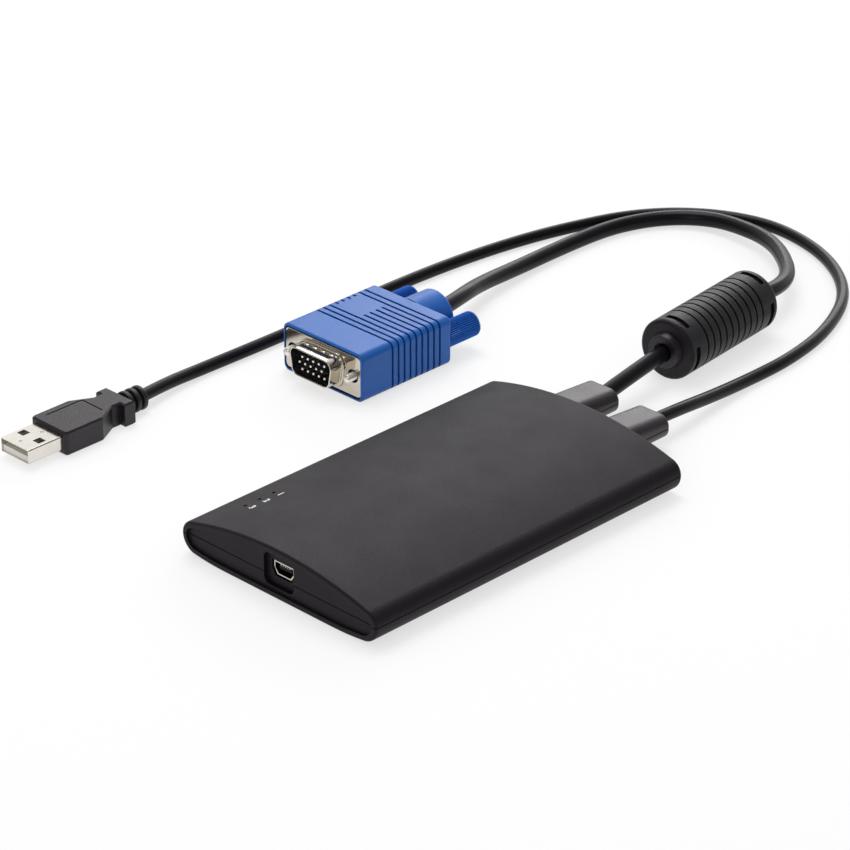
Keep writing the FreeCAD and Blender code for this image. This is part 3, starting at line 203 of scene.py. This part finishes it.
# The same nickel plating, made lighter: painted light for the brighter reflections on the data plug's shell.
NICKEL_PAINTED_LIGHT = plastic("nickel_painted_light", (0.72, 0.69, 0.63), (0.86, 0.83, 0.77), rough=0.19,
                grain=(0.30, 0.002), edge=0.10, drift=0.05, metallic=1.0)
STEEL = plastic("zinc_steel", (0.78, 0.75, 0.68), (0.92, 0.89, 0.82), rough=0.36,
                grain=(0.20, 0.003), edge=0.06, drift=0.05, metallic=1.0, crevice=0.5)
GOLD = plastic("pale_gold", (0.82, 0.75, 0.62), (0.94, 0.90, 0.80), rough=0.22,
               grain=(0.20, 0.002), edge=0.04, drift=0.05, metallic=1.0)
BLACK = plastic("black_resin", (0.0020, 0.0080, 0.0220), (0.0040, 0.0125, 0.0300), rough=0.42,
                grain=(0.25, 0.006), specular=0.15, edge=0.05)
CREAM = plastic("cream_resin", (0.70, 0.67, 0.59), (0.80, 0.77, 0.70), rough=0.40,
                grain=(0.25, 0.005), edge=0.05)
BOARD = plastic("solder_mask", (0.010, 0.070, 0.028), (0.017, 0.100, 0.040), rough=0.32,
                grain=(0.5, 0.005))
CHIP = plastic("chip_epoxy", (0.012, 0.012, 0.012), (0.022, 0.022, 0.022), rough=0.50,
               grain=(0.12, 0.006), specular=0.4, edge=0.05)
FERRITE = plastic("sintered_ferrite", (0.022, 0.022, 0.023), (0.040, 0.040, 0.042), rough=0.60,
                  grain=(0.15, 0.020), specular=0.4, edge=0.1)
GUIDE = plastic("light_guide", (0.030, 0.030, 0.032), (0.055, 0.055, 0.058), rough=0.22,
                grain=(0.3, 0.003))
INK = plastic("white_ink", (0.78, 0.78, 0.77), (0.88, 0.88, 0.87), rough=0.55,
              grain=(0.10, 0.002), specular=0.3)

FINISHES = {
    "case": CASE, "board": BOARD, "chip": CHIP, "steel": STEEL, "nickel": NICKEL, "boot": BOOT,
    "cable": CABLE, "ferrite": FERRITE, "blue_plastic": BLUE, "black_plastic": BLACK,
    "white_plastic": CREAM, "contact": GOLD, "light_guide": GUIDE,
}


def dress(node, material):
    """Give a node of the frame its finish."""
    shape = nodes[node].data
    shape.materials.clear()
    shape.materials.append(material)


for row in frame["record"]["subparts"]:
    dress(row["node"], FINISHES[row["material_slot"]])
dress("ferrite_sleeve", SLEEVE)
dress("data_plug_grip", GRIP)
# The data plug's shell takes the lighter nickel, with its painted light.
dress("data_plug_shell", NICKEL_PAINTED_LIGHT)


# Pieces: short ways to make them. Lengths below are in millimetres, where a name doesn't say otherwise.

TURN_SEGMENTS = 48
QUARTER_STEPS = 4
ACROSS, ALONG = 0, 1
FORM_SHARP = math.radians(40)


def box_mm(node):
    """A node's lowest corner, highest corner and middle, in millimetres."""
    low, high = (Vector(corner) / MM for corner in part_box(node))
    return low, high, (low + high) / 2


def add_piece(name, data, body, material):
    """A new piece of the object that rides on a body."""
    piece = bpy.data.objects.new(name, data)
    scene.collection.objects.link(piece)
    data.materials.append(material)
    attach(piece, body)
    return piece


def smooth(mesh, sharp):
    """Shade a mesh smooth, apart from edges that turn by more than an angle."""
    mesh.shade_smooth()
    mesh.set_sharp_from_angle(angle=sharp)


def tube_faces(rows, count):
    """The faces of a closed tube whose rings of points follow each other along it."""
    faces = []
    for row in range(rows - 1):
        for i in range(count):
            ahead = (i + 1) % count
            near = row * count
            far = near + count
            faces.append((near + i, far + i, far + ahead, near + ahead))
    faces.append(tuple(range(count)))
    last = (rows - 1) * count
    faces.append(tuple(last + i for i in reversed(range(count))))
    return faces


def turned_mesh(name, axis, rows, count):
    """A closed form about an axis along y. A row is its place on the axis and its radius at an angle."""
    points = []
    for y, radius in rows:
        for i in range(count):
            angle = i * math.tau / count
            r = radius(angle)
            points.append(Vector((axis.x + r * math.cos(angle), y, axis.z + r * math.sin(angle))) * MM)
    mesh = bpy.data.meshes.new(name)
    mesh.from_pydata(points, [], tube_faces(len(rows), count))
    return mesh


def quarter(start, end, leading):
    """Points on a quarter of an ellipse between two places, which leaves the first along one coordinate."""
    points = []
    for k in range(QUARTER_STEPS + 1):
        angle = k / QUARTER_STEPS * RIGHT_ANGLE
        shares = [1 - math.cos(angle), 1 - math.cos(angle)]
        shares[leading] = math.sin(angle)
        points.append(tuple(a + (b - a) * share for a, b, share in zip(start, end, shares)))
    return points


def bridge(form, first, second):
    """A band of faces between two rings of points."""
    for i in range(len(first)):
        form.faces.new((first[i - 1], first[i], second[i], second[i - 1]))


def add_form(name, form, material):
    """A new piece on the adapter from a finished form, with flat faces beside its soft edges."""
    bmesh.ops.recalc_face_normals(form, faces=form.faces)
    mesh = bpy.data.meshes.new(name)
    form.to_mesh(mesh)
    form.free()
    smooth(mesh, FORM_SHARP)
    piece = add_piece(name, mesh, "adapter", material)
    piece.modifiers.new("flat_faces", "WEIGHTED_NORMAL").keep_sharp = True
    return piece


# Leads: each is one smooth spline, with the route's points as its control points.

VIDEO_ROUTE = [
    (-10.6, 78.8, 6.7), (-12.43, 98.4, 8.8), (-14.55, 118.2, 9.4), (-18.46, 154.7, 9.4), (-20.3, 170.3, 7.9),
    (-29.3, 183.2, 6.2), (-47.2, 196.6, 5.0), (-66.8, 199.3, 3.8), (-76.7, 196.9, 3.1), (-84.7, 191.0, 2.6),
    (-90.0, 182.3, 2.5), (-93.4, 170.3, 2.5), (-93.9, 151.3, 2.5), (-92.6, 129.3, 3.0), (-89.4, 109.3, 5.2),
    (-83.8, 95.6, 7.7), (-81.2, 82.75, 7.7),
]
DATA_ROUTE = [
    (9.9, 77.2, 6.7), (9.8, 88.3, 6.2), (8.0, 104.3, 3.7), (6.4, 122.3, 1.9), (6.2, 142.3, 1.9),
    (1.6, 164.8, 1.9), (-10.2, 188.3, 1.9), (-30.4, 204.2, 1.9), (-54.1, 210.7, 1.9), (-71.1, 207.2, 1.9),
    (-85.5, 197.7, 1.9), (-95.8, 184.4, 1.9), (-101.9, 168.3, 1.9), (-107.1, 148.8, 1.9),
    (-110.5, 124.3, 1.9), (-111.7, 97.3, 1.9), (-111.1, 67.3, 1.9), (-111.2, 39.3, 1.9), (-111.7, 14.3, 1.9),
    (-110.4, 0.2, 3.0), (-108.2, -11.0, 3.7),
]
VIDEO_DIAMETER = 4.9
DATA_DIAMETER = 3.8
LEAD_STEPS = 14
LEAD_ROUNDING = 8


def make_lead(name, route, diameter, node):
    """A round lead, in place of its plain tube."""
    curve = bpy.data.curves.new(name, "CURVE")
    curve.dimensions = "3D"
    spline = curve.splines.new("NURBS")
    spline.points.add(len(route) - 1)
    for point, place in zip(spline.points, route):
        point.co = (*(Vector(place) * MM), 1.0)
    spline.order_u = 3
    spline.use_endpoint_u = True
    spline.resolution_u = LEAD_STEPS
    spline.use_smooth = True
    curve.bevel_depth = diameter / 2 * MM
    curve.bevel_resolution = LEAD_ROUNDING
    curve.use_fill_caps = True
    lead = add_piece(name, curve, "adapter", CABLE)
    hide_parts(node)
    return lead


video_lead = make_lead("video_lead", VIDEO_ROUTE, VIDEO_DIAMETER, "video_cable")
data_lead = make_lead("data_lead", DATA_ROUTE, DATA_DIAMETER, "data_cable")


# Thumbscrews: the tips carry a fine thread, which runs back into the grip.

THREAD_PITCH = 0.635
THREAD_DEPTH = 0.26
THREAD_RUN = 6.5
THREAD_RADIUS = 1.35
TIP_BEVEL = 0.45
ROWS_PER_PITCH = 12
SCREW_SHARP = math.radians(50)


def thread_radius(angle, along, shaft):
    """The screw's radius at an angle, so far along from its tip."""
    wave = abs((along / THREAD_PITCH - angle / math.tau) % 1.0 - 0.5) * 2
    fade = min(1.0, max(0.0, (THREAD_RUN - along) / THREAD_PITCH))
    bevel = max(0.0, TIP_BEVEL - along)
    crest = THREAD_RADIUS * fade + shaft * (1 - fade)
    return crest - max(THREAD_DEPTH * wave * fade, bevel)


def make_screw(side):
    """One screw, in place of its plain solid."""
    name = side + "_threaded_screw"
    low, high, middle = box_mm(side + "_screw")
    shaft = (high.x - low.x) / 2
    steps = round(THREAD_RUN / THREAD_PITCH * ROWS_PER_PITCH)
    places = [THREAD_RUN * i / steps for i in range(steps + 1)] + [high.y - low.y]
    rows = [(low.y + along, partial(thread_radius, along=along, shaft=shaft)) for along in places]
    mesh = turned_mesh(name, middle, rows, TURN_SEGMENTS)
    smooth(mesh, SCREW_SHARP)
    screw = add_piece(name, mesh, side + "_thumbscrew", STEEL)
    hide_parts(side + "_screw")
    return screw


screws = {side: make_screw(side) for side in SIDES}


# Knobs: a fine straight knurl that runs out into a rounded end.

KNURLS = 38
KNURL_DEPTH = 0.50
KNURL_FOOT = 0.5
STEPS_PER_KNURL = 6
KNOB_BEVEL = 0.4
KNOB_ROUNDING = 0.8
KNOB_STEPS = 6
KNOB_SHARP = math.radians(60)


def knurl_radius(angle, crest, share):
    """The knob's radius at an angle, where its knurl has a share of its full depth."""
    return crest - KNURL_DEPTH * share * (1 - math.cos(angle * KNURLS)) / 2


def make_knob(side):
    """One knob, in place of its coarser solid."""
    name = side + "_knurled_knob"
    low, high, middle = box_mm(side + "_knob")
    outer = (high.x - low.x) / 2
    sections = [(low.y, outer - KNOB_BEVEL, KNURL_FOOT), (low.y + KNOB_BEVEL, outer, 1.0)]
    for k in range(KNOB_STEPS + 1):
        angle = k / KNOB_STEPS * RIGHT_ANGLE
        y = high.y - KNOB_ROUNDING * (1 - math.sin(angle))
        sections.append((y, outer - KNOB_ROUNDING * (1 - math.cos(angle)), math.cos(angle)))
    rows = [(y, partial(knurl_radius, crest=crest, share=share)) for y, crest, share in sections]
    mesh = turned_mesh(name, middle, rows, KNURLS * STEPS_PER_KNURL)
    smooth(mesh, KNOB_SHARP)
    knob = add_piece(name, mesh, side + "_thumbscrew", KNOB)
    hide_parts(side + "_knob")
    return knob


knobs = {side: make_knob(side) for side in SIDES}


# Video plug's shell: a flange and a D shaped skirt, drawn from sheet, with a stepped root and a rolled lip.

SHELL_WIDTH = 18.2
SHELL_HEIGHT = 9.1
SHELL_SLANT = 1.5
SHELL_ROUNDING = 2.6
SHELL_SHEET = 0.45
FLANGE_THICKNESS = 1.3
FLANGE_MARGIN = 0.45
FLANGE_ROUNDING = 1.5
FLANGE_EDGE = 0.25
STEP = 0.9
STEP_EDGE = 0.35
STEP_FOOT = 0.25
HOLE_RADIUS = 2.1
HOLE_SEGMENTS = 32
BUMP_SIZE = (0.95, 0.55, 0.3)
BUMP_COUNT = 4
BUMP_PITCH = 3.4
BUMP_PLACE = 3.8
BUMP_SEGMENTS = 20
BUMP_RINGS = 10
ARC_STEPS = 8


def rounded_ring(corners, radius):
    """A flat outline with an arc in place of each corner."""
    points = []
    for i, corner in enumerate(corners):
        corner = Vector(corner)
        back = (Vector(corners[i - 1]) - corner).normalized()
        ahead = (Vector(corners[(i + 1) % len(corners)]) - corner).normalized()
        half = back.angle(ahead) / 2
        middle = corner + (back + ahead).normalized() * radius / math.sin(half)
        start = corner + back * radius / math.tan(half) - middle
        end = corner + ahead * radius / math.tan(half) - middle
        turn = start.angle(end)
        for k in range(ARC_STEPS + 1):
            share = k / ARC_STEPS * turn
            arm = start * math.sin(turn - share) + end * math.sin(share)
            points.append(middle + arm / math.sin(turn))
    return points


def four_sided(below, above, tall, radius):
    """A rounded outline from its half widths below and above and its half height."""
    return rounded_ring([(-below, -tall), (below, -tall), (above, tall), (-above, tall)], radius)


def d_ring(inset):
    """The D shape about the plug's middle, broad above, so far inside the skirt's outer face."""
    broad = SHELL_WIDTH / 2 - inset
    return four_sided(broad - SHELL_SLANT, broad, SHELL_HEIGHT / 2 - inset, SHELL_ROUNDING - inset)


def flange_ring(low, high, inset):
    """The flange's outline about the plug's middle, so far inside its edge."""
    wide = (high.x - low.x) / 2 - inset
    tall = (high.z - low.z) / 2 - FLANGE_MARGIN - inset
    return four_sided(wide, wide, tall, FLANGE_ROUNDING - inset)


def hole_rings(middle):
    """The outlines of the flange's screw holes about the plug's middle."""
    turns = [i * math.tau / HOLE_SEGMENTS for i in range(HOLE_SEGMENTS)]
    round_hole = [(HOLE_RADIUS * math.cos(a), HOLE_RADIUS * math.sin(a)) for a in turns]
    offsets = [box_mm(side + "_screw")[2].x - middle.x for side in SIDES]
    return [[(offset + x, z) for x, z in round_hole] for offset in offsets]


def skirt_profile(front, face, back):
    """Insets and places from the flange's face over the step and the lip to the inside's end."""
    lip = SHELL_SHEET / 2
    step = face - STEP
    return [
        *quarter((-STEP - STEP_FOOT, face), (-STEP, face - STEP_FOOT), ACROSS),
        *quarter((-STEP, step + STEP_EDGE), (-STEP + STEP_EDGE, step), ALONG),
        *quarter((-STEP_FOOT, step), (0, step - STEP_FOOT), ACROSS),
        *quarter((0, front + lip), (lip, front), ALONG),
        *quarter((lip, front), (2 * lip, front + lip), ACROSS)[1:],
        (SHELL_SHEET, back),
    ]


def loft(form, middle, rows):
    """Bands of faces through outlines about the plug's middle, each at its place; gives the end rings."""
    rings = []
    for points, y in rows:
        rings.append([form.verts.new(Vector((middle.x + x, y, middle.z + z)) * MM) for x, z in points])
    for first, second in zip(rings, rings[1:]):
        bridge(form, first, second)
    return rings[0], rings[-1]


def cap(form, *rings):
    """A flat face between a ring and the rings of the holes in it."""
    edges = [form.edges.get((ring[i - 1], ring[i])) for ring in rings for i in range(len(ring))]
    bmesh.ops.triangle_fill(form, use_beauty=True, edges=edges)


def add_bumps(form, middle, y):
    """A row of bumps on the skirt's lower and upper faces."""
    for level in (-SHELL_HEIGHT / 2, SHELL_HEIGHT / 2):
        for i in range(BUMP_COUNT):
            x = (i - (BUMP_COUNT - 1) / 2) * BUMP_PITCH
            place = Vector((middle.x + x, y, middle.z + level)) * MM
            shape = Matrix.Translation(place) @ Matrix.Diagonal((*(Vector(BUMP_SIZE) * MM), 1))
            bmesh.ops.create_uvsphere(form, u_segments=BUMP_SEGMENTS, v_segments=BUMP_RINGS, radius=1,
                                      matrix=shape)


def make_video_shell():
    """The shell, in place of its plain solid."""
    low, high, middle = box_mm("video_plug_shell")
    front = low.y
    back = high.y
    face = back - FLANGE_THICKNESS
    form = bmesh.new()
    root, throat = loft(form, middle, [(d_ring(inset), y) for inset, y in skirt_profile(front, face, back)])
    edge = [*quarter((FLANGE_EDGE, face), (0, face + FLANGE_EDGE), ACROSS), (0, back)]
    plate_front, plate_back = loft(form, middle, [(flange_ring(low, high, inset), y) for inset, y in edge])
    holes = [loft(form, middle, [(ring, face), (ring, back)]) for ring in hole_rings(middle)]
    cap(form, plate_front, root, *(hole[0] for hole in holes))
    cap(form, plate_back, throat, *(hole[1] for hole in holes))
    add_bumps(form, middle, front + BUMP_PLACE)
    shell = add_form("video_shell", form, NICKEL)
    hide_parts("video_plug_shell")
    return shell


video_shell = make_video_shell()


# Ferrite sleeve: a raised collar on each end, around the lead.

SLEEVE_ENDS = {"near": (-13.60, 109.34, 9.4), "far": (-18.30, 153.19, 9.4)}
COLLAR_BORE = 3.0
COLLAR_HEIGHT = 1.9
COLLAR_ROOT = 5.75
COLLAR_TOP = 5.1
COLLAR_EDGE = 0.2
COLLAR_SINK = 0.05


def make_collar(end, other):
    """One collar, turned about the sleeve's axis."""
    place = Vector(SLEEVE_ENDS[end])
    turn = (place - Vector(SLEEVE_ENDS[other])).to_track_quat("Z", "Y")
    shoulder = quarter((COLLAR_TOP - COLLAR_EDGE, COLLAR_HEIGHT),
                       (COLLAR_TOP, COLLAR_HEIGHT - COLLAR_EDGE), ACROSS)
    profile = [(COLLAR_BORE, -COLLAR_SINK), (COLLAR_BORE, COLLAR_HEIGHT), *shoulder,
               (COLLAR_ROOT, -COLLAR_SINK)]
    turns = [i * math.tau / TURN_SEGMENTS for i in range(TURN_SEGMENTS)]
    form = bmesh.new()
    rings = []
    for r, height in profile:
        circle = [Vector((r * math.cos(a), r * math.sin(a), height)) for a in turns]
        rings.append([form.verts.new((place + turn @ point) * MM) for point in circle])
    for first, second in zip(rings, rings[1:] + rings[:1]):
        bridge(form, first, second)
    return add_form(end + "_collar", form, COLLAR)


collars = [make_collar("near", "far"), make_collar("far", "near")]


# Marks: a plain number beside each indicator hole, printed on the crown.

MARK_COUNT = 3
MARK_SIZE = 3.0
MARK_MIDDLE = 0.25 * MARK_SIZE
MARK_WEIGHT = 0.07
MARK_GAP = 1.5
MARK_THICKNESS = 0.012
NOSE_RADIUS = 4.4


def crown_at(x):
    """The height and the slope of the case's top, an arc through its middle and its noses."""
    top = box_mm("top_cover")[1]
    joint = box_mm("bottom_cover")[1].z
    side = top.x - NOSE_RADIUS
    drop = top.z - joint
    radius = (side * side + drop * drop - NOSE_RADIUS * NOSE_RADIUS) / (2 * (drop - NOSE_RADIUS))
    return top.z - radius + math.sqrt(radius * radius - x * x), math.asin(-x / radius)


def add_marks():
    """Number the holes from the back to the front."""
    low, high, _ = box_mm("indicator_lights")
    hole = high.x - low.x
    pitch = (high.y - low.y - hole) / (MARK_COUNT - 1)
    x = high.x + MARK_GAP
    height, slope = crown_at(x + MARK_MIDDLE)
    z = height - MARK_MIDDLE * math.sin(slope) + MARK_THICKNESS
    for i in range(MARK_COUNT):
        name = "mark_%d" % (i + 1)
        text = bpy.data.curves.new(name, "FONT")
        text.body = str(i + 1)
        text.size = MARK_SIZE * MM
        text.align_y = "CENTER"
        text.offset = MARK_WEIGHT * MM
        text.extrude = MARK_THICKNESS * MM
        mark = add_piece(name, text, "adapter", INK)
        mark.location = Vector((x, high.y - hole / 2 - i * pitch, z)) * MM
        mark.rotation_euler = (0, -slope, 0)


add_marks()


# The pieces that ride on the video lead, gathered in a list.

VIDEO_NODES = ["ferrite_sleeve", "ferrite_core", "video_plug_grip", "video_plug_insulator", "video_plug_pins"]
video_pieces = [nodes[name] for name in VIDEO_NODES]
video_pieces += [video_shell, *screws.values(), *knobs.values(), *collars]


# Floor: white paper that keeps a soft shadow. It and the studio are in metres.

FLOOR_HALF = 4.0
FLOOR_CORNERS = [(-1, -1), (1, -1), (1, 1), (-1, 1)]
PAPER_COLOUR = (0.95, 0.95, 0.95, 1)
PAPER_ROUGHNESS = 0.9
PAPER_GLOW = 0.66


def make_paper():
    """White paper that partly glows for the rays that show the backdrop."""
    paper = Finish("white_paper")
    paper.shader.inputs["Base Color"].default_value = PAPER_COLOUR
    paper.shader.inputs["Roughness"].default_value = PAPER_ROUGHNESS
    paper.shader.inputs["Specular IOR Level"].default_value = 0.0
    glow = paper.add("Emission", Strength=1.0)
    share = paper.add("MixShader")
    paper.join(paper.math("MULTIPLY", paper.seen_rays(), PAPER_GLOW), share.inputs["Fac"])
    paper.join(paper.shader.outputs["BSDF"], share.inputs[1])
    paper.join(glow.outputs["Emission"], share.inputs[2])
    paper.join(share.outputs["Shader"], paper.nodes["Material Output"].inputs["Surface"])
    return paper.material


def make_floor():
    """A square of paper under the object."""
    mesh = bpy.data.meshes.new("floor")
    corners = [(x * FLOOR_HALF, y * FLOOR_HALF, 0) for x, y in FLOOR_CORNERS]
    mesh.from_pydata(corners, [], [range(len(corners))])
    mesh.materials.append(make_paper())
    floor = bpy.data.objects.new("floor", mesh)
    scene.collection.objects.link(floor)


make_floor()


# Studio: a white backdrop behind the object, a dim room in front of it, and soft lamps.

BACK = (-0.70, 0.71, 0.0)
BACK_EDGE = (0.10, 0.60)
ROOM_LEVEL = 0.22
DOME_LEVEL = 0.55


def make_studio():
    """The world: white to the camera, white behind and dim in front where it is mirrored, and an even dome of
    light for all other rays."""
    world = bpy.data.worlds.new("studio")
    world.use_nodes = True
    scene.world = world
    studio = Tree(world.node_tree)
    backdrop = studio.nodes["Background"]
    backdrop.inputs["Color"].default_value = (*WHITE, 1)
    toward = studio.add("VectorMath")
    toward.operation = "DOT_PRODUCT"
    toward.inputs[1].default_value = BACK
    studio.join(studio.add("TexCoord").outputs["Generated"], toward.inputs[0])
    mirrored = studio.carry(toward.outputs["Value"], BACK_EDGE, (ROOM_LEVEL, 1.0))
    rays = studio.add("LightPath").outputs
    direct = studio.math("MAXIMUM", rays["Is Camera Ray"], rays["Is Transmission Ray"])
    glossy = studio.math("MULTIPLY", rays["Is Glossy Ray"], mirrored)
    shown = studio.math("MAXIMUM", direct, glossy)
    hidden = studio.math("SUBTRACT", 1.0, studio.seen_rays())
    level = studio.math("ADD", shown, studio.math("MULTIPLY", hidden, DOME_LEVEL))
    studio.join(level, backdrop.inputs["Strength"])


make_studio()

LAMP_AIM = Vector((-0.03, 0.06, 0.0))


def add_lamp(name, place, width, height, watts):
    """A soft box that looks at the object and doesn't show itself to the camera."""
    lamp = bpy.data.lights.new(name, "AREA")
    lamp.shape = "RECTANGLE"
    lamp.size = width
    lamp.size_y = height
    lamp.energy = watts
    box = bpy.data.objects.new(name, lamp)
    scene.collection.objects.link(box)
    box.location = place
    box.rotation_euler = (LAMP_AIM - Vector(place)).to_track_quat("-Z", "Y").to_euler()
    box.visible_camera = False


add_lamp("key_lamp", place=(-0.5, 0.3, 1.4), width=0.9, height=0.9, watts=11)
add_lamp("back_lamp", place=(-0.74, 1.24, 0.62), width=0.9, height=0.45, watts=5.0)
add_lamp("front_lamp", place=(0.35, -1.2, 0.8), width=0.45, height=0.45, watts=1.8)


# Camera: the photograph's viewing angle. Its lens and sensor are in millimetres.

CAMERA_PLACE = (0.66972, -0.67788, 0.5249)
AZIMUTH = math.radians(44.82)
ELEVATION = math.radians(27.44)
LENS = 168.97
SENSOR = 36.0
NEAREST = 0.05
FARTHEST = 20.0

camera_data = bpy.data.cameras.new("camera")
camera_data.sensor_width = SENSOR
camera_data.lens = LENS
camera_data.clip_start = NEAREST
camera_data.clip_end = FARTHEST
camera = bpy.data.objects.new("camera", camera_data)
scene.collection.objects.link(camera)
camera.location = CAMERA_PLACE
camera.rotation_euler = (RIGHT_ANGLE - ELEVATION, 0, AZIMUTH)
scene.camera = camera
scene.view_settings.view_transform = "Standard"

bpy.context.view_layer.update()
